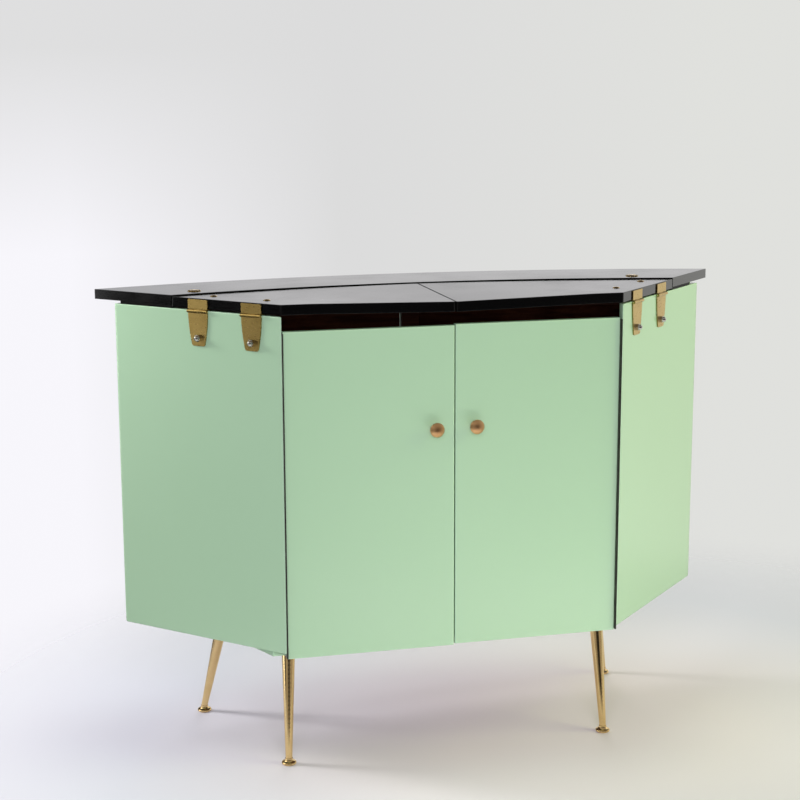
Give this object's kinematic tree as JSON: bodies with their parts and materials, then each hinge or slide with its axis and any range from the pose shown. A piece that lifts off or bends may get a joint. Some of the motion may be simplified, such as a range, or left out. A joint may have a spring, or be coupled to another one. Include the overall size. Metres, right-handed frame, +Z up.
{
  "type": "bar cabinet",
  "caption": "Home bar cabinet with angled sides, a curved back under a crescent counter, hinged doors, splayed metal legs and front top leaves that fold out sideways as shelves.",
  "frame": {"origin": "on the floor, under the middle of the closed cabinet's box", "axes": "+X to the right as seen from the doors, +Y to the curved back, +Z up"},
  "size_m": [1.389, 0.4614, 0.9797],
  "materials": {
    "mint_laminate": "glossy mint-green laminate",
    "black_laminate": "satin black laminate",
    "dark_wood": "dark reddish-brown stain",
    "polished_brass": "polished",
    "coppery_brass": "polished, coppery",
    "chrome_nut": "bright",
    "hinge_steel": "dull steel",
    "catch_plastic": "matt brown"
  },
  "bodies": {
    "carcass": {"back_batten": "dark_wood", "bottom_board": "dark_wood", "inner_shelf": "dark_wood", "counter_rail": "dark_wood", "leaf_ledge": "dark_wood", "counter_top": "black_laminate", "counter_rosettes": "polished_brass", "counter_screws": "polished_brass", "door_hinge_frame_screws": "hinge_steel", "strap_pins": "polished_brass", "strap_bolts": "chrome_nut", "strap_dome_nuts": "chrome_nut", "left_side_panel": "mint_laminate", "left_back_panel": "mint_laminate", "left_shelf_cleat": "dark_wood", "left_counter_spacer": "black_laminate", "left_hinge_straps": "polished_brass", "left_door_hinge_frame_leaf": "hinge_steel", "left_door_hinge_pin": "hinge_steel", "left_door_catch": "catch_plastic", "left_front_leg_block": "dark_wood", "left_rear_leg_block": "dark_wood", "left_front_leg": "polished_brass", "left_rear_leg": "polished_brass", "left_front_foot": "polished_brass", "left_rear_foot": "polished_brass", "right_side_panel": "mint_laminate", "right_back_panel": "mint_laminate", "right_shelf_cleat": "dark_wood", "right_counter_spacer": "black_laminate", "right_hinge_straps": "polished_brass", "right_door_hinge_frame_leaf": "hinge_steel", "right_door_hinge_pin": "hinge_steel", "right_door_catch": "catch_plastic", "right_front_leg_block": "dark_wood", "right_rear_leg_block": "dark_wood", "right_front_leg": "polished_brass", "right_rear_leg": "polished_brass", "right_front_foot": "polished_brass", "right_rear_foot": "polished_brass"},
    "left_leaf": {"left_leaf_board": "black_laminate", "left_leaf_brackets": "polished_brass", "left_leaf_bolts": "polished_brass", "left_leaf_nuts": "chrome_nut"},
    "left_door": {"left_door_panel": "mint_laminate", "left_door_hinge_leaf": "hinge_steel", "left_door_hinge_screws": "hinge_steel", "left_knob": "coppery_brass", "left_knob_screw": "hinge_steel", "left_strike_plate": "hinge_steel"},
    "right_leaf": {"right_leaf_board": "black_laminate", "right_leaf_brackets": "polished_brass", "right_leaf_bolts": "polished_brass", "right_leaf_nuts": "chrome_nut"},
    "right_door": {"right_door_panel": "mint_laminate", "right_door_hinge_leaf": "hinge_steel", "right_door_hinge_screws": "hinge_steel", "right_knob": "coppery_brass", "right_knob_screw": "hinge_steel", "right_strike_plate": "hinge_steel"}
  },
  "joints": [
    {"name": "left_leaf_fold", "type": "hinge", "parent": "carcass", "child": "left_leaf", "pos_m": [-0.36076, -0.21351, 0.9485], "axis": [0.7071, -0.7071, 0], "range_deg": [0, 180]},
    {"name": "right_leaf_fold", "type": "hinge", "parent": "carcass", "child": "right_leaf", "pos_m": [0.36076, -0.21351, 0.9485], "axis": [0.7071, 0.7071, 0], "range_deg": [0, 180]},
    {"name": "left_door_swing", "type": "hinge", "parent": "carcass", "child": "left_door", "pos_m": [-0.3564, -0.21075, 0.58], "axis": [0, 0, -1], "range_deg": [0, 170]},
    {"name": "right_door_swing", "type": "hinge", "parent": "carcass", "child": "right_door", "pos_m": [0.3564, -0.21075, 0.58], "axis": [0, 0, 1], "range_deg": [0, 170]}
  ]
}
